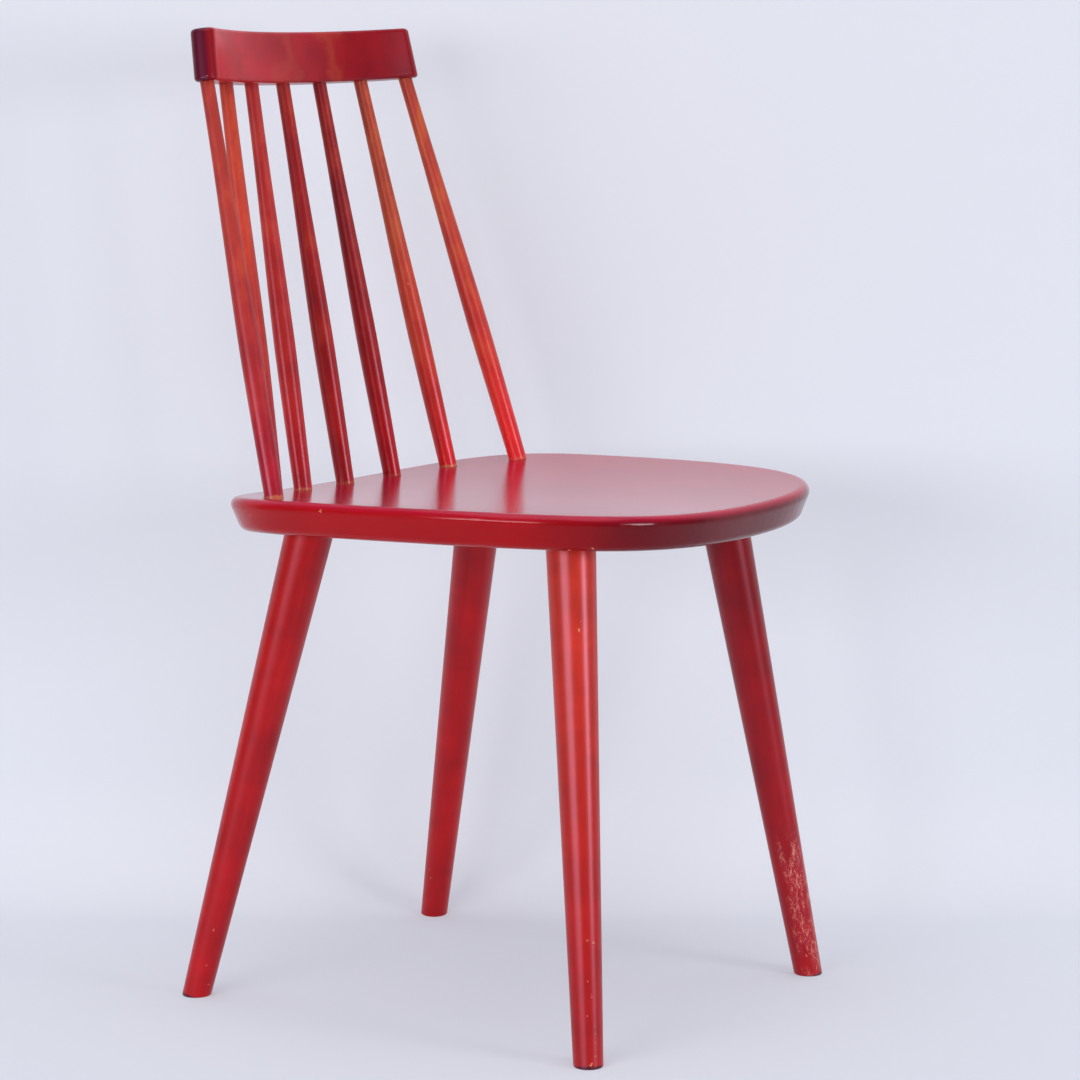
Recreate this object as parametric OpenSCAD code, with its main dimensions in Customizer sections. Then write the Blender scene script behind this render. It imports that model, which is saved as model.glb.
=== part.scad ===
// Spindle-back side chair: a dished plank seat on four raked and splayed round legs,
// with seven turned spindles carrying a bent crest rail. The front faces -Y.

/* [Seat] */
// Height of the seat's top surface above the floor, at the middle of the seat
seat_height = 444.5; // [400:0.5:480]
// Half the greatest width of the seat
seat_half_w = 224; // [200:1:240]
// Distance from the seat's centre to its front edge
seat_front = 221; // [215:1:235]
// Distance from the seat's centre to its back edge
seat_back = 230; // [226:1:240]
// Distance behind the seat's centre where the seat is widest
seat_widest = 84; // [70:1:100]
// How far the outline runs straight sideways from the middle of the front edge
front_pull = 172; // [140:1:180]
// How far the outline runs forward along the side, before it turns in to the front
side_pull_front = 261; // [240:1:290]
// How far the outline runs back along the side, before it turns in at the corner
side_pull_back = 95; // [80:1:110]
// How far the outline runs straight sideways from the middle of the back edge
back_pull = 186; // [160:1:200]
// Thickness of the plank
seat_t = 29.5; // [28:0.5:34]
// Rise of the seat's sides above its middle
dish = 11.5; // [0:0.5:14]
// Backward slope of the seat, in degrees
seat_slope = 1.2; // [0:0.1:2]
// Radius of the top edge
seat_round_top = 7; // [4:0.5:9]
// Radius of the bottom edge
seat_round_bottom = 8.5; // [3:0.5:9]
// How far the side leans in on its way down, in degrees
seat_undercut = 22; // [10:1:25]

/* [Legs] */
// Foot of a front leg on the floor: distance from the centre line, distance from the seat's centre
front_foot = [183.5, -176.5]; // [-250:0.5:250]
// Top of a front leg at the seat's underside, in the same measures
front_leg_top = [123.5, -119]; // [-130:0.5:130]
// Foot of a rear leg on the floor
rear_foot = [182, 237.5]; // [-250:0.5:250]
// Top of a rear leg at the seat's underside
rear_leg_top = [130.5, 147]; // [-150:0.5:150]
// Diameter of a leg at the floor
foot_d = 25; // [22:0.5:28]
// Diameter of a leg at the seat
leg_top_d = 42; // [38:0.5:44]
// Diameter of a leg's tenon
leg_tenon_d = 28; // [20:1:32]
// Length of a leg's tenon
leg_tenon_len = 20; // [14:1:21]

/* [Spindles] */
// Where the middle spindle and then each one outward stands on the seat
spindle_foot = [[0, 205], [67.5, 201.5], [132.5, 184], [186, 142]]; // [0:0.5:210]
// Diameter at the seat
spindle_foot_d = 16.4; // [14:0.1:18]
// Greatest diameter
spindle_belly_d = 19; // [17:0.1:21]
// Height of the greatest diameter, as a part of the visible length
spindle_belly_at = 0.34; // [0.25:0.01:0.45]
// Diameter at the crest rail
spindle_top_d = 12.4; // [11:0.1:14]
// Depth that a spindle enters the seat
spindle_foot_depth = 20; // [15:1:21]
// Depth that a spindle enters the crest rail
spindle_top_depth = 24; // [15:1:28]

/* [Crest rail] */
// Height of the rail's bottom above the floor, in its middle
crest_height = 798; // [780:0.5:820]
// Distance of the rail's bottom behind the seat's centre, in its middle
crest_back = 272; // [265:0.5:280]
// Radius that the rail is bent to
crest_bend_r = 365; // [340:1:400]
// Thickness of the rail
crest_t = 22; // [21:0.5:24]
// Height of the rail
crest_h = 46; // [42:0.5:60]
// Half the rail's length along its bottom edge
crest_half_len = 162.5; // [158:0.5:175]
// Backward lean of the rail, in degrees
crest_lean = 7.6; // [5:0.1:11]
// How far each end leans in on its way up, in degrees
crest_end_slope = 7; // [0:0.1:10]
// Radius of the long edges
crest_round = 4; // [2:0.5:5]
// Radius of the corners at the ends
crest_end_round = 5.5; // [5.5:0.5:8]
// Spacing of the spindles along the rail
spindle_pitch = 50.3; // [46:0.1:51]

/* [Fit] */
// Gap left for glue around each tenon and under each shoulder
glue_gap = 0.05; // [0.02:0.01:0.2]
// Extra depth of each blind hole
hole_spare = 0.5; // [0.3:0.1:1]

/* [Hidden] */
$fn = 64;

wood = "#a8202a";
stained_spindle = "#b5402a";

middle_spindle = 4;
// Length of even thickness where a spindle leaves the seat
spindle_parallel = 4;
// How far a leg's cone runs past each end before it is cut
leg_slack = 16;
// How far a hole's tool starts outside the wood
bore_lead = 15;
outline_steps = 18;
bend_steps = 24;
corner_steps = 4;
turning_steps = 28;

// The seat's front edge and the crest rail's back are the ends of the chair's depth
chair_back = crest_back + (crest_t / 2 - crest_round) * cos(crest_lean)
    + (crest_h - crest_round) * sin(crest_lean) + crest_round;
chair_front = -seat_front * cos(seat_slope) - seat_round_top * sin(seat_slope);
y_shift = -(chair_back + chair_front) / 2;

// ---- Points and lines ----

function bezier(p, t) =
    pow(1 - t, 3) * p[0] + 3 * pow(1 - t, 2) * t * p[1] + 3 * (1 - t) * t * t * p[2] + pow(t, 3) * p[3];

// From the seat's own frame, with its top middle at the origin, to the chair's
function seat_to_chair(p) = [
    p[0],
    p[1] * cos(seat_slope) + p[2] * sin(seat_slope),
    seat_height - p[1] * sin(seat_slope) + p[2] * cos(seat_slope)];

function seat_rise(x) = dish * pow(x / seat_half_w, 2);

// Slope of the seat across its width, in degrees
function seat_bank(x) = atan(2 * dish * x / pow(seat_half_w, 2));

// From the crest rail's flat blank to the bent and leaning rail:
// a is along the blank, n through its thickness and w up its height
function bend(a, n, w) =
    let (turn = a / crest_bend_r * 180 / PI, y = (crest_bend_r + n) * cos(turn) - crest_bend_r)
    [(crest_bend_r + n) * sin(turn),
     crest_back + y * cos(crest_lean) + w * sin(crest_lean),
     crest_height - y * sin(crest_lean) + w * cos(crest_lean)];

function mirrored(side, p) = [side * p[0], p[1]];

function leg_low(side, foot) = [side * foot[0], foot[1], 0];

function leg_high(side, top) =
    seat_to_chair([side * top[0], top[1], seat_rise(top[0]) - seat_t]);

// Spindles count from the sitter's right, so number 1 has the lowest x
function spindle_low(i) =
    let (k = i - middle_spindle, p = spindle_foot[abs(k)])
    seat_to_chair([sign(k) * p[0], p[1], seat_rise(p[0])]);

function spindle_high(i) = bend((i - middle_spindle) * spindle_pitch, 0, 0);

// Radius of a spindle at part t of its visible length
function spindle_r(t) =
    t < spindle_belly_at
        ? (spindle_belly_d - (spindle_belly_d - spindle_foot_d) * pow(1 - t / spindle_belly_at, 1.5)) / 2
        : (spindle_belly_d - (spindle_belly_d - spindle_top_d)
            * pow(sin(90 * (t - spindle_belly_at) / (1 - spindle_belly_at)), 1.5)) / 2;

// ---- Helpers ----

module place() {
    translate([0, y_shift, 0]) children();
}

// Turns the Z axis to run from point a to point b, starting at a
module along(a, b) {
    d = b - a;
    translate(a) rotate([0, acos(d[2] / norm(d)), atan2(d[1], d[0])]) children();
}

// A closed skin over rings that all have the same number of points
module loft(rings) {
    n = len(rings[0]);
    last = len(rings) - 1;
    first_mid = [for (axis = [0:2]) [for (p = rings[0]) p[axis]] * [for (p = rings[0]) 1] / n];
    last_mid = [for (axis = [0:2]) [for (p = rings[last]) p[axis]] * [for (p = rings[last]) 1] / n];
    points = concat([for (ring = rings) each ring], [first_mid, last_mid]);
    sides = [for (k = [0:last - 1], i = [0:n - 1])
        let (j = (i + 1) % n)
        each [[k * n + i, k * n + j, (k + 1) * n + j], [k * n + i, (k + 1) * n + j, (k + 1) * n + i]]];
    first_cap = [for (i = [0:n - 1]) [(i + 1) % n, i, (last + 1) * n]];
    last_cap = [for (i = [0:n - 1]) [last * n + i, last * n + (i + 1) % n, (last + 1) * n + 1]];
    polyhedron(points = points, faces = concat(sides, first_cap, last_cap));
}

// ---- Seat ----

front_curve = [[0, -seat_front], [front_pull, -seat_front],
    [seat_half_w, seat_widest - side_pull_front], [seat_half_w, seat_widest]];
back_curve = [[seat_half_w, seat_widest], [seat_half_w, seat_widest + side_pull_back],
    [back_pull, seat_back], [0, seat_back]];
half_outline = concat(
    [for (i = [0:outline_steps - 1]) bezier(front_curve, i / outline_steps)],
    [for (i = [0:outline_steps]) bezier(back_curve, i / outline_steps)]);
half_count = len(half_outline);
// Anticlockwise seen from above, starting at the middle of the front edge
outline = concat(half_outline,
    [for (i = [half_count - 2:-1:1]) mirrored(-1, half_outline[i])]);
outline_count = len(outline);

function outward(i) =
    let (d = outline[(i + 1) % outline_count] - outline[(i + outline_count - 1) % outline_count])
    [d[1], -d[0]] / norm(d);

// One ring of the seat: inset from the outline, then shrunk towards the centre, at a depth
function seat_ring(inset, shrink, depth) = [for (i = [0:outline_count - 1])
    let (p = (outline[i] - outward(i) * inset) * shrink)
    [p[0], p[1], seat_rise(p[0]) - depth]];

// The side runs down from the rounded top edge, leaning in, to the rounded bottom edge
side_angle = 90 + seat_undercut;
top_arc = [for (i = [0:corner_steps])
    let (a = side_angle * i / corner_steps)
    [seat_round_top * (1 - sin(a)), seat_round_top * (1 - cos(a))]];
side_drop = seat_t - seat_round_top * (1 - cos(side_angle)) - seat_round_bottom * (1 - sin(seat_undercut));
side_foot = [top_arc[corner_steps][0] + side_drop * tan(seat_undercut), seat_t
    - seat_round_bottom * (1 - sin(seat_undercut))];
bottom_arc = [for (i = [0:corner_steps])
    let (a = side_angle + (180 - side_angle) * i / corner_steps)
    [side_foot[0] + seat_round_bottom * (sin(side_angle) - sin(a)),
     seat_t - seat_round_bottom * (1 + cos(a))]];

module seat_blank() {
    top_inset = seat_round_top;
    bottom_inset = bottom_arc[corner_steps][0];
    inner = [0.2, 0.45, 0.7, 0.88];
    loft(concat(
        [for (s = inner) seat_ring(top_inset, s, 0)],
        [for (q = top_arc) seat_ring(q[0], 1, q[1])],
        [for (q = bottom_arc) seat_ring(q[0], 1, q[1])],
        [for (i = [len(inner) - 1:-1:0]) seat_ring(bottom_inset, inner[i], seat_t)]));
}

module leg_socket(side, foot, top) {
    along(leg_high(side, top), 2 * leg_high(side, top) - leg_low(side, foot))
        translate([0, 0, -bore_lead])
            cylinder(h = bore_lead + leg_tenon_len + hole_spare, d = leg_tenon_d + 2 * glue_gap);
}

module spindle_foot_socket(i) {
    along(spindle_low(i), spindle_high(i))
        translate([0, 0, -spindle_foot_depth - hole_spare])
            cylinder(h = bore_lead + spindle_foot_depth + hole_spare, d = spindle_foot_d + 2 * glue_gap);
}

module seat() {
    color(wood) place() difference() {
        translate([0, 0, seat_height]) rotate([-seat_slope, 0, 0]) seat_blank();
        for (side = [-1, 1]) {
            leg_socket(side, front_foot, front_leg_top);
            leg_socket(side, rear_foot, rear_leg_top);
        }
        for (i = [1:7]) spindle_foot_socket(i);
    }
}

// ---- Legs ----

// side is -1 for the sitter's right leg and 1 for the left one
module leg(side, foot, top) {
    low = leg_low(side, foot);
    high = leg_high(side, top);
    length = norm(high - low);
    flare = (leg_top_d - foot_d) / length;
    color(wood) place() {
        difference() {
            // A quarter turn keeps the cone's seam away from the ends of its slanting cuts
            along(low, high)
                translate([0, 0, -leg_slack]) rotate([0, 0, 90])
                    cylinder(h = length + 2 * leg_slack,
                        d1 = foot_d - flare * leg_slack, d2 = leg_top_d + flare * leg_slack);
            // The floor cuts the foot level
            translate([low[0] - leg_top_d, low[1] - leg_top_d, -2 * leg_slack])
                cube([2 * leg_top_d, 2 * leg_top_d, 2 * leg_slack]);
            // The seat's underside cuts the shoulder
            translate([0, 0, seat_height]) rotate([-seat_slope, 0, 0])
                translate([side * top[0], top[1], seat_rise(top[0]) - seat_t - glue_gap])
                    rotate([0, -seat_bank(side * top[0]), 0])
                        translate([-leg_top_d, -leg_top_d, 0])
                            cube([2 * leg_top_d, 2 * leg_top_d, 3 * leg_slack]);
        }
        along(low, high)
            translate([0, 0, length - leg_slack])
                cylinder(h = leg_slack + leg_tenon_len, d = leg_tenon_d);
    }
}

module leg_front_right() {
    leg(-1, front_foot, front_leg_top);
}

module leg_front_left() {
    leg(1, front_foot, front_leg_top);
}

module leg_rear_right() {
    leg(-1, rear_foot, rear_leg_top);
}

module leg_rear_left() {
    leg(1, rear_foot, rear_leg_top);
}

// ---- Spindles ----

module spindle(i) {
    low = spindle_low(i);
    high = spindle_high(i);
    length = norm(high - low);
    turned = length - spindle_parallel;
    profile = concat(
        [[0, -spindle_foot_depth], [spindle_foot_d / 2, -spindle_foot_depth]],
        [for (k = [0:turning_steps])
            let (t = k / turning_steps)
            [spindle_r(t), spindle_parallel + turned * t]],
        [[spindle_top_d / 2, length + spindle_top_depth], [0, length + spindle_top_depth]]);
    color(stained_spindle) place() along(low, high) rotate_extrude() polygon(profile);
}

// ---- Crest rail ----

// One section of the rail: a rounded rectangle at part q of the half length,
// drawn in by "shrink" all round
function crest_ring(q, tuck, shrink) =
    let (r = max(crest_round - shrink, 0.6),
        half_t = crest_t / 2 - shrink - r,
        half_h = crest_h / 2 - shrink - r)
    [for (corner = [[1, -1], [1, 1], [-1, 1], [-1, -1]], k = [0:corner_steps])
        let (start = corner[0] > 0 ? (corner[1] < 0 ? -90 : 0) : (corner[1] > 0 ? 90 : 180),
            a = start + 90 * k / corner_steps,
            n = corner[0] * half_t + r * cos(a),
            w = crest_h / 2 + corner[1] * half_h + r * sin(a),
            end = crest_half_len - w * tan(crest_end_slope))
        bend(q * (end - crest_end_round) + tuck, n, w)];

module crest_blank() {
    end_steps = 2 * corner_steps;
    quarter = [for (k = [1:end_steps])
        [crest_end_round * sin(90 * k / end_steps), crest_end_round * (1 - cos(90 * k / end_steps))]];
    loft(concat(
        [for (k = [end_steps - 1:-1:0]) crest_ring(-1, -quarter[k][0], quarter[k][1])],
        [for (k = [0:bend_steps]) crest_ring(2 * k / bend_steps - 1, 0, 0)],
        [for (k = [0:end_steps - 1]) crest_ring(1, quarter[k][0], quarter[k][1])]));
}

module spindle_top_socket(i) {
    along(spindle_high(i), 2 * spindle_high(i) - spindle_low(i))
        translate([0, 0, -bore_lead])
            cylinder(h = bore_lead + spindle_top_depth + hole_spare, d = spindle_top_d + 2 * glue_gap);
}

module crest_rail() {
    color(wood) place() difference() {
        crest_blank();
        for (i = [1:7]) spindle_top_socket(i);
    }
}

seat();
crest_rail();
spindle(1);  // spindle_1
spindle(2);  // spindle_2
spindle(3);  // spindle_3
spindle(4);  // spindle_4
spindle(5);  // spindle_5
spindle(6);  // spindle_6
spindle(7);  // spindle_7
leg_front_right();
leg_front_left();
leg_rear_right();
leg_rear_left();
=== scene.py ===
"""A spindle-back side chair in beech under worn red lacquer.

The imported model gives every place: a turned piece stands on its CAD node's own axis, and the
seat and the crest rail are centred on their nodes' boxes. Lengths are in millimetres until a
piece is finished, and metres after that.
"""

from math import cos, pi, radians, sin, tan

import bmesh
import bpy
import numpy as np
from mathutils import Matrix, Vector


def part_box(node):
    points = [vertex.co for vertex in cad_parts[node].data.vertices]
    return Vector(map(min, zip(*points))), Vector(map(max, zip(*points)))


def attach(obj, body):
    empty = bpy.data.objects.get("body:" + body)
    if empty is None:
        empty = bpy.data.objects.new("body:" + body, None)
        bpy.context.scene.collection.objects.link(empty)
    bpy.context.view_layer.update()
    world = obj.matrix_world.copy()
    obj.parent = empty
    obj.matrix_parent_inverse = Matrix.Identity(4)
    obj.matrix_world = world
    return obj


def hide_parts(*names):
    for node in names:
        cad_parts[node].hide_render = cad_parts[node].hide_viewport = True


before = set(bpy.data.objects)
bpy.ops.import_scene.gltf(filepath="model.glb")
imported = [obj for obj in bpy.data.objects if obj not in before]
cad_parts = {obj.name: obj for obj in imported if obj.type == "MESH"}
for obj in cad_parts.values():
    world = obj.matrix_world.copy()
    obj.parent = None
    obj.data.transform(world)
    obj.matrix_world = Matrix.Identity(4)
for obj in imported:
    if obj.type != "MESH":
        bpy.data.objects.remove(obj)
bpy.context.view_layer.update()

MM = 0.001
MERGED = 0.0001          # points nearer than this are one
SHARP_EDGE = 40          # degrees past which an edge shows as one

# ---- Sizes, in millimetres and degrees ----

SEAT_HALF_W = 224
SEAT_FRONT = 221
SEAT_BACK = 230
SEAT_WIDEST = 84
FRONT_PULL = 172
SIDE_PULL_FRONT = 261
SIDE_PULL_BACK = 95
BACK_PULL = 186
SEAT_T = 29.5
SEAT_DISH = 11.5
SEAT_SLOPE = 1.2
SEAT_ROUND_TOP = 7
SEAT_ROUND_BOTTOM = 8.5
SEAT_UNDERCUT = 22

FOOT_D = 25
LEG_TOP_D = 42
LEG_TENON_D = 28
LEG_TENON = 20
FOOT_ROUND = 1.6
LEG_FACETS = 72

SPINDLE_FOOT_D = 16.4
SPINDLE_BELLY_D = 19
SPINDLE_TOP_D = 12.4
SPINDLE_BELLY_AT = 0.34
SPINDLE_PARALLEL = 4
SPINDLE_FOOT_DEPTH = 20
SPINDLE_TOP_DEPTH = 24
SPINDLE_STEPS = 40
SPINDLE_FACETS = 40

CREST_BEND_R = 365
CREST_T = 22
CREST_H = 46
CREST_HALF_LEN = 162.5
CREST_LEAN = 7.6
CREST_END_SLOPE = 7
CREST_ROUND = 3.5
CREST_END_ROUND = 10.2


# ---- Small helpers ----

def linear(hex_colour):
    """An sRGB hex colour as the linear RGBA that a shader takes."""
    channels = [int(hex_colour[i:i + 2], 16) / 255 for i in (1, 3, 5)]
    lit = [c / 12.92 if c <= 0.04045 else ((c + 0.055) / 1.055) ** 2.4 for c in channels]
    return (*lit, 1.0)


def add(tree, kind, settings=None, inputs=None):
    """Adds a node with its settings and inputs; an input is a value or another node's socket."""
    made = tree.nodes.new(kind)
    for name, value in (settings or {}).items():
        setattr(made, name, value)
    for name, value in (inputs or {}).items():
        if isinstance(value, bpy.types.NodeSocket):
            tree.links.new(value, made.inputs[name])
        else:
            made.inputs[name].default_value = value
    return made


def new_material(name):
    material = bpy.data.materials.new(name)
    material.use_nodes = True
    material.node_tree.nodes.clear()
    return material, material.node_tree


def unique_points(name):
    """The different vertices of a CAD node, in millimetres."""
    found = np.array([v.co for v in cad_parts[name].data.vertices], float) / MM
    return np.unique(found.round(3), axis=0)


def middle(points):
    return (points.min(axis=0) + points.max(axis=0)) / 2


def turned_axis(name):
    """Both ends of a turned CAD node's axis: the middles of its lowest and its highest face."""
    points = unique_points(name)
    low = points[points[:, 2].argmin()]
    high = points[points[:, 2].argmax()]
    for _ in range(3):
        direction = (high - low) / np.linalg.norm(high - low)
        height = points @ direction
        low = middle(points[height < height.min() + 1.0])
        high = middle(points[height > height.max() - 1.0])
    return Vector(low), Vector(high)


def standing(low, high, up):
    """A matrix that stands a piece made along Z on a line from low to high, "up" above its start,
    with its own Y as near the chair's as it goes."""
    axis = (high - low).normalized()
    back = (Vector((0, 1, 0)) - axis * axis.y).normalized()
    turn = Matrix((back.cross(axis), back, axis)).transposed().to_4x4()
    return Matrix.Translation(low + axis * up) @ turn


def spun(profile, steps):
    """A bmesh of a profile of (radius, height) points, turned about Z."""
    bm = bmesh.new()
    line = [bm.verts.new((r, 0, z)) for r, z in profile]
    edges = [bm.edges.new(pair) for pair in zip(line, line[1:])]
    bmesh.ops.spin(bm, geom=line + edges, cent=(0, 0, 0), axis=(0, 0, 1),
                   angle=2 * pi, steps=steps, use_merge=True)
    bmesh.ops.remove_doubles(bm, verts=bm.verts, dist=0.001)
    return bm


def keep_grain(bm, along=lambda p: p):
    """Stores each point's place in the piece's own wood, with the grain along Z, in millimetres."""
    layer = bm.verts.layers.float_vector.new("grain")
    for v in bm.verts:
        v[layer] = along(v.co)


def finish_piece(bm, name, material, node, place):
    """Turns a bmesh in millimetres into the piece that stands for a CAD node."""
    bm.transform(Matrix.Scale(MM, 4) @ place)
    bmesh.ops.recalc_face_normals(bm, faces=bm.faces)
    mesh = bpy.data.meshes.new(name)
    bm.to_mesh(mesh)
    bm.free()
    mesh.shade_smooth()
    mesh.set_sharp_from_angle(angle=radians(SHARP_EDGE))
    mesh.materials.append(material)
    piece = bpy.data.objects.new(name, mesh)
    bpy.context.scene.collection.objects.link(piece)
    even = piece.modifiers.new("even_shading", "WEIGHTED_NORMAL")
    even.keep_sharp = True
    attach(piece, "root")
    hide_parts(node)
    return piece


def centred_on(bm, node, turn):
    """Turns a shape, then gives the matrix that also brings its box's middle to its CAD node's."""
    turned = [turn @ v.co for v in bm.verts]
    own = middle(np.array(turned, float))
    low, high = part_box(node)
    return Matrix.Translation((low + high) / 2 / MM - Vector(own)) @ turn


def inset_steps(bm, face, steps):
    """Goes on from a face by insets: each step is (how far in, how far out of the face)."""
    for inward, outward in steps:
        bmesh.ops.inset_region(bm, faces=[face], thickness=inward, depth=outward,
                               use_even_offset=True)


def cut(bm, point, away, drop=False):
    """Cuts a shape by a plane, and may drop what lies on the plane's outer side."""
    bmesh.ops.bisect_plane(bm, geom=bm.verts[:] + bm.edges[:] + bm.faces[:], dist=MERGED,
                           plane_co=point, plane_no=away, clear_outer=drop)


# ---- Materials ----

BARE_BEECH = linear("#D98E6E")
SCUFFED_COAT = linear("#D07C6A")
SCUFFED_HAZE = linear("#B03440")
RUBBED_FOOT = linear("#C47A52")
DARK_FOOT_RIM = linear("#520C1A")
# The seat top's own red, with a purple cast added as painted reflection of the pale wall.
SEAT_TOP_RED_AND_PAINTED_REFLECTION = linear("#AE1636")
SEAT_EDGE_RED = linear("#A80810")
# Painted shade: the front of the seat's edge is painted a darker red.
SEAT_FRONT_PAINTED_SHADE = linear("#62040F")
# The crest's own red, with painted light and shade: lighter at the right end, darker at the left.
CREST_RIGHT_RED_PAINTED_LIGHT = linear("#C0222A")
CREST_LEFT_RED_PAINTED_SHADE = linear("#860A14")
CREST_THIN_COAT = linear("#B0402A")
CREST_END_RED = linear("#861018")
CREST_END_SHADE = linear("#560A24")
PINK_GLOSS = linear("#FFC8E6")       # the pigment in the coat tints its highlights

# Roughness of each finish, and the level of its shine. The seat is waxed over its lacquer.
LEG_ROUGHNESS, LEG_SHINE = 0.32, 0.47
SPINDLE_FOOT_ROUGHNESS, SPINDLE_HEAD_ROUGHNESS, SPINDLE_SHINE = 0.28, 0.38, 0.4
SEAT_TOP_ROUGHNESS, SEAT_SIDE_ROUGHNESS, SEAT_SHINE, SEAT_WAX = 0.2, 0.23, 0.08, 0.64
CREST_ROUGHNESS, CREST_SHINE = 0.28, 0.3
BARE_ROUGHNESS = 0.65
LACQUER_IOR = 1.5
WAX_IOR, WAX_ROUGHNESS = 1.3, 0.17
RELIEF_DEPTH = 0.0003                # of the wood's relief under the coat, in metres


def begin_wood(name, shift):
    """A new material, the place in the piece's own wood, and that place moved to its own figure."""
    material, tree = new_material(name)
    place = add(tree, "ShaderNodeAttribute", {"attribute_name": "grain"}).outputs["Vector"]
    own = add(tree, "ShaderNodeMapping", {}, {"Vector": place, "Location": shift}).outputs[0]
    return material, tree, place, own


def figure(tree, place, across, along, detail=3.0):
    """A soft mottle from 0 to 1, with patches "across" by "along" the grain, in millimetres."""
    scaled = add(tree, "ShaderNodeMapping", {},
                 {"Vector": place, "Scale": (1 / across, 1 / across, 1 / along)}).outputs[0]
    raw = add(tree, "ShaderNodeTexNoise", {},
              {"Vector": scaled, "Scale": 1.0, "Detail": detail}).outputs[0]
    return add(tree, "ShaderNodeMapRange", {}, {"Value": raw, 1: 0.3, 2: 0.7}).outputs[0]


def blended(tree, parts):
    """The sum of several masks, each with its weight."""
    total = 0.0
    for mask, weight in parts:
        total = add(tree, "ShaderNodeMath", {"operation": "MULTIPLY_ADD"},
                    {0: mask, 1: weight, 2: total}).outputs[0]
    return total


def layered(tree, colour, coats):
    """A colour under several coats, each of which covers it where its masks overlap."""
    for *masks, coat in coats:
        cover = masks[0]
        for mask in masks[1:]:
            cover = add(tree, "ShaderNodeMath", {"operation": "MULTIPLY"},
                        {0: cover, 1: mask}).outputs[0]
        colour = add(tree, "ShaderNodeMix", {"data_type": "RGBA"},
                     {0: cover, 6: colour, 7: coat}).outputs[2]
    return colour


def shaded(tree, colour, tone, darkest, lightest):
    """A colour made deeper and lighter by a mottle, as a coat of uneven thickness makes it."""
    amount = add(tree, "ShaderNodeMapRange", {},
                 {"Value": tone, 3: darkest, 4: lightest}).outputs[0]
    return add(tree, "ShaderNodeMix",
               {"data_type": "RGBA", "blend_type": "MULTIPLY", "clamp_result": True},
               {0: 1.0, 6: colour, 7: amount}).outputs[2]


def chips(tree, place, spots):
    """A mask of chips with ragged edges: each spot is (place in the wood, radius)."""
    noise = add(tree, "ShaderNodeTexNoise", {"normalize": False},
                {"Vector": place, "Scale": 0.6, "Detail": 2.0}).outputs["Color"]
    ragged = add(tree, "ShaderNodeVectorMath", {"operation": "MULTIPLY_ADD"},
                 {0: noise, 1: (1.8, 1.8, 1.8), 2: place}).outputs[0]
    mask = 0.0
    for where, radius in spots:
        away = add(tree, "ShaderNodeVectorMath", {"operation": "DISTANCE"},
                   {0: ragged, 1: where}).outputs["Value"]
        spot = add(tree, "ShaderNodeMapRange", {},
                   {"Value": away, 1: radius, 2: 0.7 * radius}).outputs[0]
        mask = add(tree, "ShaderNodeMath", {"operation": "MAXIMUM"}, {0: spot, 1: mask}).outputs[0]
    return mask


def scratches(tree, place, slant, apart, length, width):
    """A mask of short fine scratches: a drawn-out noise cut at its middle value, and broken up."""
    drawn = add(tree, "ShaderNodeMapping", {"vector_type": "TEXTURE"},
                {"Vector": place, "Rotation": (0, slant, 0),
                 "Scale": (apart, apart, length)}).outputs[0]
    noise = add(tree, "ShaderNodeTexNoise", {"normalize": False},
                {"Vector": drawn, "Scale": 1.0, "Detail": 1.0}).outputs["Color"]
    raw, gaps, _ = add(tree, "ShaderNodeSeparateXYZ", {}, {"Vector": noise}).outputs
    near = add(tree, "ShaderNodeMath", {"operation": "ABSOLUTE"}, {0: raw}).outputs[0]
    half = width / apart
    line = add(tree, "ShaderNodeMapRange", {}, {"Value": near, 1: half, 2: 0.2 * half}).outputs[0]
    stroke = add(tree, "ShaderNodeMapRange", {}, {"Value": gaps, 1: -0.05, 2: 0.12}).outputs[0]
    return add(tree, "ShaderNodeMath", {"operation": "MULTIPLY"}, {0: line, 1: stroke}).outputs[0]


def finish_wood(material, tree, colour, worn, relief, roughness, specular, wax=0.0):
    """Bare beech where the coat is worn through, and everywhere else a clear coat that follows
    the wood's relief."""
    coloured = layered(tree, colour, [(worn, BARE_BEECH)])
    matt = add(tree, "ShaderNodeMapRange", {},
               {"Value": worn, 3: roughness, 4: BARE_ROUGHNESS}).outputs[0]
    height = add(tree, "ShaderNodeMath", {"operation": "SUBTRACT"}, {0: relief, 1: worn}).outputs[0]
    bump = add(tree, "ShaderNodeBump", {},
               {"Height": height, "Strength": 0.5, "Distance": RELIEF_DEPTH}).outputs[0]
    shader = add(tree, "ShaderNodeBsdfPrincipled", {},
                 {"Base Color": coloured, "Roughness": matt, "Normal": bump, "IOR": LACQUER_IOR,
                  "Specular IOR Level": specular, "Specular Tint": PINK_GLOSS,
                  "Coat Weight": wax, "Coat IOR": WAX_IOR, "Coat Roughness": WAX_ROUGHNESS}).outputs[0]
    add(tree, "ShaderNodeOutputMaterial", {}, {"Surface": shader})
    return material


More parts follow.
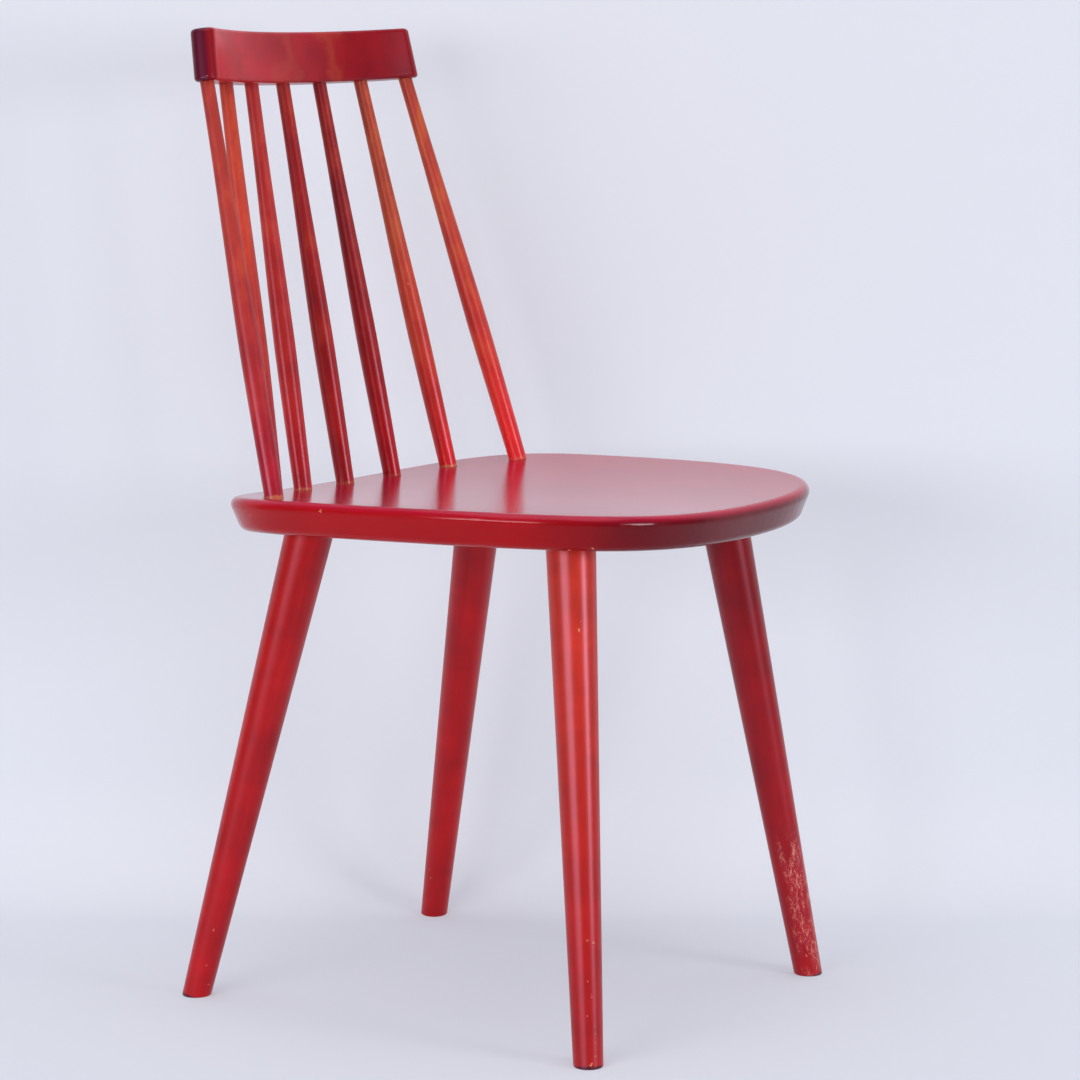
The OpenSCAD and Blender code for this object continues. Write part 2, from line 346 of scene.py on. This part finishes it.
def scuffed_foot(tree, place, own, colour):
    """Crossing scratches and a dull haze on the front of a leg's foot, where shoes hit it."""
    x, y, z = add(tree, "ShaderNodeSeparateXYZ", {}, {"Vector": place}).outputs
    low = add(tree, "ShaderNodeMapRange", {"interpolation_type": "SMOOTHSTEP"},
              {"Value": z, 1: 146.0, 2: 116.0}).outputs[0]
    forward = blended(tree, [(x, -0.45), (y, -0.9)])
    front = add(tree, "ShaderNodeMapRange", {}, {"Value": forward, 1: 5.5, 2: 11.0}).outputs[0]
    patches = figure(tree, own, 9, 26, 1.5)
    broken = add(tree, "ShaderNodeMapRange", {}, {"Value": patches, 1: 0.2, 2: 0.6}).outputs[0]
    marks = blended(tree, [(scratches(tree, own, radians(7), 3.0, 14, 0.42), 0.9),
                           (scratches(tree, own, radians(-24), 3.4, 12, 0.4), 0.8),
                           (scratches(tree, own, radians(68), 4.0, 12, 0.36), 0.7)])
    return layered(tree, colour, [(low, front, broken, 0.35, SCUFFED_HAZE),
                                  (low, front, broken, marks, SCUFFED_COAT)])


def leg_lacquer(name, foot, top, shift, spots, scuffed=False):
    """Turned beech under a red lacquer brushed on by hand: soft bands run round it where the coat
    is thin, and its satin gloss spreads each lamp's reflection."""
    material, tree, place, own = begin_wood(name, shift)
    fibres = figure(tree, own, 1.6, 45)
    clouds = figure(tree, own, 22, 60)
    bands = figure(tree, own, 50, 22)
    tone = blended(tree, [(fibres, 0.1), (clouds, 0.55), (bands, 0.35)])
    height = add(tree, "ShaderNodeSeparateXYZ", {}, {"Vector": place}).outputs["Z"]
    up = add(tree, "ShaderNodeMapRange", {}, {"Value": height, 1: 90.0, 2: 390.0}).outputs[0]
    colour = shaded(tree, layered(tree, linear(foot), [(up, linear(top))]), tone, 0.72, 1.25)
    if scuffed:
        colour = scuffed_foot(tree, place, own, colour)
    # The lowest millimetre or so of each foot is painted dark.
    rim = add(tree, "ShaderNodeMapRange", {}, {"Value": height, 1: 1.4, 2: 0.5}).outputs[0]
    colour = layered(tree, colour, [(rim, DARK_FOOT_RIM)])
    relief = blended(tree, [(fibres, 0.05), (clouds, 0.3)])
    worn = chips(tree, place, spots)
    return finish_wood(material, tree, colour, worn, relief, LEG_ROUGHNESS, LEG_SHINE)


def spindle_stain(name, foot, head, patch, amount, ring, shift, spots=()):
    """Turned beech under a thin red stain and a clear lacquer: the stain took unevenly, so patches
    of orange-brown wood show. The lacquer is glossiest near the seat, where hands don't reach."""
    material, tree, place, own = begin_wood(name, shift)
    fibres = figure(tree, own, 1.2, 30)
    bands = figure(tree, own, 13, 30)
    long_bands = figure(tree, own, 30, 110)
    tone = blended(tree, [(fibres, 0.15), (bands, 0.45), (long_bands, 0.4)])
    height = add(tree, "ShaderNodeSeparateXYZ", {}, {"Vector": place}).outputs["Z"]
    up = add(tree, "ShaderNodeMapRange", {}, {"Value": height, 1: 20.0, 2: 240.0}).outputs[0]
    colour = shaded(tree, layered(tree, linear(foot), [(up, linear(head))]), tone, 0.6, 1.36)
    thin = add(tree, "ShaderNodeMapRange", {},
               {"Value": bands, 1: 0.45, 2: 0.85, 4: amount}).outputs[0]
    frayed = figure(tree, own, 3.5, 8)
    edge = blended(tree, [(height, 1.0), (frayed, 2.0)])
    rubbed = add(tree, "ShaderNodeMapRange", {},
                 {"Value": edge, 1: 2.7, 2: 1.7, 4: ring}).outputs[0]
    colour = layered(tree, colour, [(thin, up, linear(patch)), (rubbed, RUBBED_FOOT)])
    specks = figure(tree, own, 1.1, 2.5)
    relief = blended(tree, [(fibres, 0.1), (bands, 0.15), (specks, 0.06)])
    satin = add(tree, "ShaderNodeMapRange", {},
                {"Value": up, 3: SPINDLE_FOOT_ROUGHNESS, 4: SPINDLE_HEAD_ROUGHNESS}).outputs[0]
    worn = chips(tree, place, spots)
    return finish_wood(material, tree, colour, worn, relief, satin, SPINDLE_SHINE)


def seat_lacquer(spots):
    """Beech plank under many coats of red lacquer, rubbed flat: faint streaks follow the grain, and
    seen along the top it mirrors the bright wall. The front of the edge is painted a darker red as
    painted shade, and the top's red has a purple cast that is a painted reflection of the wall."""
    material, tree, place, own = begin_wood("red_lacquer_on_beech_seat", (0, 0, 0))
    fibres = figure(tree, own, 3, 120)
    clouds = figure(tree, own, 60, 110)
    tone = blended(tree, [(fibres, 0.2), (clouds, 0.8)])
    _, height, along = add(tree, "ShaderNodeSeparateXYZ", {}, {"Vector": place}).outputs
    # Painted shade: the front of the seat's edge turns a darker red.
    front = add(tree, "ShaderNodeMapRange", {"interpolation_type": "SMOOTHSTEP"},
                {"Value": along, 1: -112.0, 2: -210.0}).outputs[0]
    side = add(tree, "ShaderNodeMapRange", {}, {"Value": height, 1: 6.0, 2: 1.0}).outputs[0]
    edge = layered(tree, SEAT_EDGE_RED, [(front, SEAT_FRONT_PAINTED_SHADE)])
    # The top's red carries a painted reflection: a purple cast of the pale wall.
    colour = shaded(tree, layered(tree, SEAT_TOP_RED_AND_PAINTED_REFLECTION, [(side, edge)]), tone, 0.85, 1.15)
    relief = blended(tree, [(fibres, 0.02), (clouds, 0.15)])
    satin = add(tree, "ShaderNodeMapRange", {},
                {"Value": side, 3: SEAT_TOP_ROUGHNESS, 4: SEAT_SIDE_ROUGHNESS}).outputs[0]
    worn = chips(tree, place, spots)
    return finish_wood(material, tree, colour, worn, relief, satin, SEAT_SHINE, SEAT_WAX)


def crest_lacquer(spots):
    """Bent beech under red lacquer: cloudy orange-brown patches show where the coat is thin, and
    the end grain drank more stain and is darker. Painted light and shade make the rail lighter at
    its right end and darker at its left, and painted shade turns the back half of each end purple."""
    material, tree, place, own = begin_wood("red_lacquer_on_beech_crest", (0, 0, 0))
    fibres = figure(tree, own, 2, 60)
    clouds = figure(tree, own, 30, 34)
    tone = blended(tree, [(fibres, 0.12), (clouds, 0.88)])
    depth, height, along = add(tree, "ShaderNodeSeparateXYZ", {}, {"Vector": place}).outputs
    # Painted light and shade: the red is lighter at the right end of the rail and darker at the left.
    across = add(tree, "ShaderNodeMapRange", {}, {"Value": along, 1: -140.0, 2: 120.0}).outputs[0]
    colour = layered(tree, CREST_RIGHT_RED_PAINTED_LIGHT, [(across, CREST_LEFT_RED_PAINTED_SHADE)])
    colour = shaded(tree, colour, tone, 0.78, 1.18)
    # Thin patches, each (place along the rail, half width, how strong)
    wandering = blended(tree, [(along, 1.0), (clouds, 26.0), (figure(tree, own, 14, 16), 12.0)])
    for where, width, amount in ((14.0, 20.0, 0.4), (78.0, 18.0, 0.5)):
        away = add(tree, "ShaderNodeMath", {"operation": "SUBTRACT"},
                   {0: wandering, 1: where}).outputs[0]
        near = add(tree, "ShaderNodeMath", {"operation": "ABSOLUTE"}, {0: away}).outputs[0]
        soft = add(tree, "ShaderNodeMapRange", {"interpolation_type": "SMOOTHSTEP"},
                   {"Value": near, 1: width, 2: 0.0, 4: amount}).outputs[0]
        colour = layered(tree, colour, [(soft, CREST_THIN_COAT)])
    outward = add(tree, "ShaderNodeMath", {"operation": "ABSOLUTE"}, {0: along}).outputs[0]
    to_end = blended(tree, [(outward, 1.0), (height, tan(radians(CREST_END_SLOPE)))])
    grain_end = add(tree, "ShaderNodeMapRange", {"interpolation_type": "SMOOTHSTEP"},
                    {"Value": to_end, 1: CREST_HALF_LEN - 8.5, 2: CREST_HALF_LEN - 5.0}).outputs[0]
    # Painted shade: the back half of each end is painted a deep purple.
    painted_shade_back = add(tree, "ShaderNodeMapRange", {}, {"Value": depth, 1: -6.5, 2: -2.0}).outputs[0]
    colour = layered(tree, colour, [(grain_end, CREST_END_RED),
                                    (grain_end, painted_shade_back, CREST_END_SHADE)])
    relief = blended(tree, [(fibres, 0.04), (clouds, 0.3)])
    worn = chips(tree, place, spots)
    return finish_wood(material, tree, colour, worn, relief, CREST_ROUGHNESS, CREST_SHINE)


# ---- Seat ----

def seat_outline(bm):
    """The seat's plan as a face: four points on one closed curve."""
    curve = bpy.data.curves.new("seat_outline", "CURVE")
    curve.dimensions = "3D"
    curve.resolution_u = 32
    spline = curve.splines.new("BEZIER")
    spline.bezier_points.add(3)
    spline.use_cyclic_u = True
    corners = [
        ((0, -SEAT_FRONT), (-FRONT_PULL, 0), (FRONT_PULL, 0)),
        ((SEAT_HALF_W, SEAT_WIDEST), (0, -SIDE_PULL_FRONT), (0, SIDE_PULL_BACK)),
        ((0, SEAT_BACK), (BACK_PULL, 0), (-BACK_PULL, 0)),
        ((-SEAT_HALF_W, SEAT_WIDEST), (0, SIDE_PULL_BACK), (0, -SIDE_PULL_FRONT)),
    ]
    for point, (co, before, after) in zip(spline.bezier_points, corners):
        point.handle_left_type = point.handle_right_type = "FREE"
        point.co = (*co, 0)
        point.handle_left = (co[0] + before[0], co[1] + before[1], 0)
        point.handle_right = (co[0] + after[0], co[1] + after[1], 0)
    drawn = bpy.data.objects.new("seat_outline", curve)
    bm.from_mesh(drawn.to_mesh())
    bpy.data.objects.remove(drawn)
    bmesh.ops.remove_doubles(bm, verts=bm.verts, dist=0.01)
    return bmesh.ops.contextual_create(bm, geom=bm.edges[:])["faces"][0]


def round_over(radius, start, end):
    """Inset steps round an edge, from one lean of the surface to the next, in degrees."""
    steps = 6
    leans = [radians(start + (end - start) * k / steps) for k in range(steps + 1)]
    return [(radius * (cos(a) - cos(b)), radius * (sin(b) - sin(a)))
            for a, b in zip(leans, leans[1:])]


def make_seat():
    bm = bmesh.new()
    top = seat_outline(bm)
    if top.normal.z < 0:
        top.normal_flip()
    ring = 0.2                           # the thin band that both edges start from
    made = bmesh.ops.extrude_face_region(bm, geom=[top], use_keep_orig=True)["geom"]
    lowered = [g for g in made if isinstance(g, bmesh.types.BMVert)]
    bmesh.ops.translate(bm, verts=lowered, vec=(0, 0, -ring))
    bmesh.ops.recalc_face_normals(bm, faces=bm.faces)
    flat = sorted(bm.faces, key=lambda f: f.calc_area())[-2:]
    bottom, top = sorted(flat, key=lambda f: f.calc_center_median().z)
    # The side: round over the top edge, lean in, and round under the bottom edge
    lean = radians(SEAT_UNDERCUT)
    side = SEAT_T - ring - SEAT_ROUND_TOP * (1 + sin(lean)) - SEAT_ROUND_BOTTOM * (1 - sin(lean))
    margin = (1.0, 0.0)                  # a flat ring inside each rounded edge
    inset_steps(bm, top, [*round_over(SEAT_ROUND_TOP, 0, 90), margin])
    inset_steps(bm, bottom, [*round_over(SEAT_ROUND_TOP, 0, SEAT_UNDERCUT),
                             (side * tan(lean), side),
                             *round_over(SEAT_ROUND_BOTTOM, SEAT_UNDERCUT, 90), margin])
    # The dish bends strips across the seat's width
    strip = 14
    count = int(SEAT_HALF_W / strip)
    for k in range(-count, count + 1):
        cut(bm, (k * strip, 0, 0), (1, 0, 0))
    keep_grain(bm, lambda p: Vector((p.x, p.z, p.y)))
    for v in bm.verts:
        v.co.z += SEAT_DISH * (v.co.x / SEAT_HALF_W) ** 2
    place = centred_on(bm, "seat", Matrix.Rotation(-radians(SEAT_SLOPE), 4, "X"))
    lacquer = seat_lacquer([((-212.8, -7.9, 147.6), 1.3), ((-223.8, 0.2, 63.7), 1.1),
                            ((-144.0, -1.3, -197.0), 1.2), ((-132.6, -0.7, -204.4), 0.9),
                            ((-166.0, -20.1, -167.4), 1.7), ((-174.8, -22.3, -150.9), 1.7)])
    return finish_piece(bm, "seat_plank", lacquer, "seat", place)


make_seat()


# ---- Legs ----

def make_leg(node, lacquer):
    _, high = turned_axis(node)
    points = unique_points(node)
    low = Vector((*middle(points[points[:, 2] < 0.01])[:2], 0))
    length = (high - low).length - LEG_TENON
    slope = (LEG_TOP_D - FOOT_D) / 2 / length
    spare = 16                           # past both ends, before they are cut to their slants
    bm = spun([(0, -spare), (FOOT_D / 2 - slope * spare, -spare),
               (LEG_TOP_D / 2 + slope * spare, length + spare), (0, length + spare)], LEG_FACETS)
    stand = standing(low, high, 0)
    bm.transform(stand)
    axis = (high - low).normalized()
    shoulder = low + axis * length
    underside = Matrix.Rotation(-radians(SEAT_SLOPE), 3, "X") @ Vector(
        (-2 * SEAT_DISH * shoulder.x / SEAT_HALF_W ** 2, 0, 1))
    cuts = [(Vector((0, 0, 0)), Vector((0, 0, -1))), (shoulder, underside)]
    ends = []
    for point, away in cuts:
        cut(bm, point, away, drop=True)
        rim = [e for e in bm.edges if e.is_boundary]
        ends.append(bmesh.ops.contextual_create(bm, geom=rim)["faces"][0])
    foot, top = ends
    bmesh.ops.recalc_face_normals(bm, faces=bm.faces)
    bmesh.ops.inset_region(bm, faces=[top], thickness=(LEG_TOP_D - LEG_TENON_D) / 2)
    tenon = bmesh.ops.extrude_discrete_faces(bm, faces=[top])["faces"][0]
    bmesh.ops.translate(bm, verts=tenon.verts, vec=axis * LEG_TENON)
    bmesh.ops.bevel(bm, geom=foot.edges[:], offset=FOOT_ROUND, offset_type="OFFSET", segments=4,
                    profile=0.5, affect="EDGES", material=-1)
    back = stand.inverted()
    keep_grain(bm, lambda p: back @ p)
    return finish_piece(bm, "turned_" + node, lacquer, node,
                        Matrix.Identity(4))


make_leg("leg_front_right", leg_lacquer(
    "red_lacquer_on_beech_leg_front_right", "#A61612", "#BE3222", (0, 0, 0),
    [((-13.6, -14.5, 359.0), 1.1), ((-12.4, -15.4, 366.0), 0.8), ((-6.6, -13.0, 102.0), 1.1),
     ((-10.2, -10.6, 103.5), 1.0), ((-10.9, -8.7, 70.0), 0.8), ((-8.7, -10.7, 58.0), 0.8),
     ((-10.6, -8.3, 42.0), 0.7), ((-9.4, -8.3, 2.0), 1.3),
     *[((-6.0, -11.4, z), 0.75) for z in (9, 15, 20, 27, 33, 40)]]))
make_leg("leg_front_left", leg_lacquer(
    "red_lacquer_on_beech_leg_front_left", "#9E0A0A", "#860402", (70, 30, 500),
    [((-10.2, -7.9, 21.0), 1.1), ((0.0, -13.4, 87.0), 1.2)], scuffed=True))
make_leg("leg_rear_right", leg_lacquer(
    "red_lacquer_on_beech_leg_rear_right", "#AE0E0A", "#B4120A", (140, 60, 1000),
    [((-10.3, -9.2, 65.0), 0.9), ((-9.0, -9.8, 32.0), 0.8), ((-3.6, -12.2, 14.0), 0.9)]))
make_leg("leg_rear_left", leg_lacquer(
    "red_lacquer_on_beech_leg_rear_left", "#B4100A", "#AA0D04", (210, 90, 1500),
    [((-13.4, 1.5, 52.0), 0.9), ((-12.6, -1.0, 20.0), 0.8), ((-13.0, 0.0, 43.5), 0.8)]))


# ---- Spindles ----

def spindle_radius(t):
    """Radius at part t of the length that shows."""
    if t < SPINDLE_BELLY_AT:
        down = 1 - t / SPINDLE_BELLY_AT
        return (SPINDLE_BELLY_D - (SPINDLE_BELLY_D - SPINDLE_FOOT_D) * down ** 1.5) / 2
    up = sin(pi / 2 * (t - SPINDLE_BELLY_AT) / (1 - SPINDLE_BELLY_AT))
    return (SPINDLE_BELLY_D - (SPINDLE_BELLY_D - SPINDLE_TOP_D) * up ** 1.5) / 2


def make_spindle(number, stain):
    node = f"spindle_{number}"
    low, high = turned_axis(node)
    length = (high - low).length - SPINDLE_FOOT_DEPTH - SPINDLE_TOP_DEPTH
    shown = [(spindle_radius(k / SPINDLE_STEPS),
              SPINDLE_PARALLEL + (length - SPINDLE_PARALLEL) * k / SPINDLE_STEPS)
             for k in range(SPINDLE_STEPS + 1)]
    profile = [(0, -SPINDLE_FOOT_DEPTH), (SPINDLE_FOOT_D / 2, -SPINDLE_FOOT_DEPTH), *shown,
               (SPINDLE_TOP_D / 2, length + SPINDLE_TOP_DEPTH), (0, length + SPINDLE_TOP_DEPTH)]
    bm = spun(profile, SPINDLE_FACETS)
    keep_grain(bm)
    return finish_piece(bm, f"turned_spindle_{number}", stain, node,
                        standing(low, high, SPINDLE_FOOT_DEPTH))


# Each spindle took the stain in its own way: its colour at the foot and at the head, the colour of
# its thin patches and how strong they are, how far its foot is rubbed, and its chips
SPINDLES = [
    ("#A61C2C", "#AC362A", "#B84A2C", 0.5, 0.6, []),
    ("#AC1A24", "#BC3E2A", "#C84E2A", 0.4, 0.7, [((-4.0, -7.0, 285.0), 1.0)]),
    ("#B62022", "#B42E28", "#BC4A34", 0.4, 0.5, []),
    ("#A61612", "#A01C16", "#B44420", 0.5, 0.3, []),
    ("#AC1010", "#921C16", "#A83A1C", 0.4, 0.2, []),
    ("#D02420", "#B84A2A", "#B6582A", 0.7, 0.8, [((-6.0, -6.5, 173.0), 1.1)]),
    ("#D42824", "#B2402A", "#BC5C26", 0.6, 0.3, []),
]
for number, (foot, head, patch, amount, ring, spots) in enumerate(SPINDLES, start=1):
    stain = spindle_stain(f"red_stain_on_beech_spindle_{number}", foot, head, patch, amount, ring,
                          (40 * number, 25 * number, 600 * number), spots)
    make_spindle(number, stain)


# ---- Crest rail ----

def bent(p):
    """From the straight blank, with its length along X, to the bent rail."""
    turn = p.x / CREST_BEND_R
    reach = CREST_BEND_R + p.y
    return Vector((reach * sin(turn), reach * cos(turn) - CREST_BEND_R, p.z))


def make_crest():
    bm = bmesh.new()
    bmesh.ops.create_cube(bm, size=1)
    bmesh.ops.scale(bm, verts=bm.verts, vec=(3 * CREST_HALF_LEN, CREST_T, CREST_H))
    bmesh.ops.translate(bm, verts=bm.verts, vec=(0, 0, CREST_H / 2))
    lean = radians(CREST_END_SLOPE)
    for side in (-1, 1):
        cut(bm, (side * CREST_HALF_LEN, 0, 0), (side * cos(lean), 0, sin(lean)), drop=True)
        bmesh.ops.contextual_create(bm, geom=[e for e in bm.edges if e.is_boundary])
    bmesh.ops.recalc_face_normals(bm, faces=bm.faces)
    # First the upright corners of the ends, then the rims of the top and the bottom
    corner = 0.9                         # radians past which an edge is sharp
    mostly_upright = 0.9
    for upright, radius, segments in ((True, CREST_END_ROUND, 10), (False, CREST_ROUND, 6)):
        sharp = [e for e in bm.edges if e.calc_face_angle(0) > corner]
        steep = [e for e in sharp
                 if abs((e.verts[0].co - e.verts[1].co).normalized().z) > mostly_upright]
        bmesh.ops.bevel(bm, geom=steep if upright else sharp, offset=radius, offset_type="OFFSET",
                        segments=segments, profile=0.5, affect="EDGES", material=-1)
    # Slices let the blank bend
    slices = 48
    reach = CREST_HALF_LEN - 16          # stops short of the rounded ends
    for k in range(slices + 1):
        cut(bm, (reach * (2 * k / slices - 1), 0, 0), (1, 0, 0))
    keep_grain(bm, lambda p: Vector((p.y, p.z, p.x)))
    for v in bm.verts:
        v.co = bent(v.co)
    place = centred_on(bm, "crest_rail", Matrix.Rotation(-radians(CREST_LEAN), 4, "X"))
    lacquer = crest_lacquer([((-7.0, 4.0, -161.0), 1.2), ((-2.0, 3.0, -161.5), 1.0)])
    return finish_piece(bm, "bent_crest_rail", lacquer, "crest_rail",
                        place)


make_crest()


# ---- Stage, light and camera ----

CAMERA_PLACE = Vector((-2.654, -1.80475, 0.8336))
CAMERA_PITCH = radians(90) - 0.134
CAMERA_HEADING = -0.9841
WALL_DISTANCE = 0.36
WALL_CURVE = 0.12
FLOOR_NEAR, PAPER_WIDTH, WALL_HEIGHT = -1.3, 5.0, 4.0
CAMERA_LENS, SENSOR_WIDTH = 122.5, 36       # millimetres
PAPER = linear("#DEE1E8")
PAPER_GLOW = linear("#DEE1EF")
OWN_GLOW = 0.45                             # share of the paper's brightness
ROOM = linear("#F0F2FF")
ROOM_LIGHT = 0.18
ROOM_SHOWN = 0.87
ROOM_MIRRORED = 0.1


def shown_rays(tree, mirrored):
    """1 for rays that show the room itself, and "mirrored" for those that reflect it."""
    path = add(tree, "ShaderNodeLightPath").outputs
    seen = add(tree, "ShaderNodeMath", {"operation": "MAXIMUM"},
               {0: path["Is Camera Ray"], 1: path["Is Transmission Ray"]}).outputs[0]
    reflected = add(tree, "ShaderNodeMath", {"operation": "MULTIPLY"},
                    {0: path["Is Glossy Ray"], 1: mirrored}).outputs[0]
    return add(tree, "ShaderNodeMath", {"operation": "MAXIMUM"}, {0: seen, 1: reflected}).outputs[0]


def stage_material():
    """Matt seamless paper, which takes the chair's soft shadows and shows pale and even behind it.
    A share of its brightness is its own where it is seen, so the shadows stay faint."""
    material, tree = new_material("pale_seamless_paper")
    paper = add(tree, "ShaderNodeBsdfDiffuse", {}, {"Color": PAPER}).outputs[0]
    glow = add(tree, "ShaderNodeEmission", {}, {"Color": PAPER_GLOW, "Strength": 1.0}).outputs[0]
    share = add(tree, "ShaderNodeMath", {"operation": "MULTIPLY"},
                {0: shown_rays(tree, 1.0), 1: OWN_GLOW}).outputs[0]
    paper = add(tree, "ShaderNodeMixShader", {}, {0: share, 1: paper, 2: glow}).outputs[0]
    clear = add(tree, "ShaderNodeBsdfTransparent").outputs[0]
    behind = add(tree, "ShaderNodeNewGeometry").outputs["Backfacing"]
    shader = add(tree, "ShaderNodeMixShader", {}, {0: behind, 1: paper, 2: clear}).outputs[0]
    add(tree, "ShaderNodeOutputMaterial", {}, {"Surface": shader})
    return material


def make_stage():
    """A floor that curves up into a wall behind the chair, across the camera's heading."""
    bm = bmesh.new()
    left = -PAPER_WIDTH / 2
    start = WALL_DISTANCE - WALL_CURVE
    line = [bm.verts.new((left, FLOOR_NEAR, 0)), bm.verts.new((left, start, 0))]
    bm.edges.new(line)
    turned = bmesh.ops.spin(bm, geom=[line[1]], cent=(0, start, WALL_CURVE), axis=(1, 0, 0),
                            angle=pi / 2, steps=16)["geom_last"]
    last = [g for g in turned if isinstance(g, bmesh.types.BMVert)][0]
    top = bm.verts.new((left, WALL_DISTANCE, WALL_HEIGHT))
    bm.edges.new((last, top))
    bmesh.ops.remove_doubles(bm, verts=bm.verts, dist=MERGED)
    made = bmesh.ops.extrude_edge_only(bm, edges=bm.edges[:])["geom"]
    moved = [g for g in made if isinstance(g, bmesh.types.BMVert)]
    bmesh.ops.translate(bm, verts=moved, vec=(PAPER_WIDTH, 0, 0))
    bmesh.ops.recalc_face_normals(bm, faces=bm.faces)
    floor = min(bm.faces, key=lambda f: f.calc_center_median().z)
    if floor.normal.z < 0:
        bmesh.ops.reverse_faces(bm, faces=bm.faces)
    bm.transform(Matrix.Rotation(CAMERA_HEADING, 4, "Z"))
    mesh = bpy.data.meshes.new("seamless_paper")
    bm.to_mesh(mesh)
    bm.free()
    mesh.shade_smooth()
    mesh.materials.append(stage_material())
    paper = bpy.data.objects.new("seamless_paper", mesh)
    bpy.context.scene.collection.objects.link(paper)


def soft_lamp(name, place, aim, width, height, watts):
    lamp = bpy.data.lights.new(name, "AREA")
    lamp.shape = "RECTANGLE"
    lamp.size = width
    lamp.size_y = height
    lamp.energy = watts
    held = bpy.data.objects.new(name, lamp)
    held.location = place
    held.rotation_euler = (Vector(aim) - Vector(place)).to_track_quat("-Z", "Y").to_euler()
    bpy.context.scene.collection.objects.link(held)


def make_world():
    """An even room, which fills the shadows with a dim light and shows pale beyond the paper. The
    lacquer mirrors it dimly, as it would the unlit side of a studio."""
    world = bpy.data.worlds.new("studio")
    world.use_nodes = True
    tree = world.node_tree
    tree.nodes.clear()
    shown = shown_rays(tree, ROOM_MIRRORED)
    strength = add(tree, "ShaderNodeMapRange", {},
                   {"Value": shown, 3: ROOM_LIGHT, 4: ROOM_SHOWN}).outputs[0]
    back = add(tree, "ShaderNodeBackground", {}, {"Color": ROOM, "Strength": strength}).outputs[0]
    add(tree, "ShaderNodeOutputWorld", {}, {"Surface": back})
    bpy.context.scene.world = world


make_stage()
make_world()
soft_lamp("left_softbox", (-4.0, 0.0, 0.95), (0, 0, 0.45), 2.4, 0.9, 80)
soft_lamp("right_softbox", (0.0, -4.0, 0.95), (0, 0, 0.45), 1.1, 0.9, 66)
soft_lamp("overhead_softbox", (-0.5, -0.3, 3.0), (0, 0, 0), 3.0, 3.0, 52)

camera = bpy.data.cameras.new("camera")
camera.sensor_width = SENSOR_WIDTH
camera.lens = CAMERA_LENS
eye = bpy.data.objects.new("camera", camera)
eye.location = CAMERA_PLACE
eye.rotation_euler = (CAMERA_PITCH, 0, CAMERA_HEADING)
bpy.context.scene.collection.objects.link(eye)
bpy.context.scene.camera = eye
bpy.context.scene.view_settings.view_transform = "Standard"
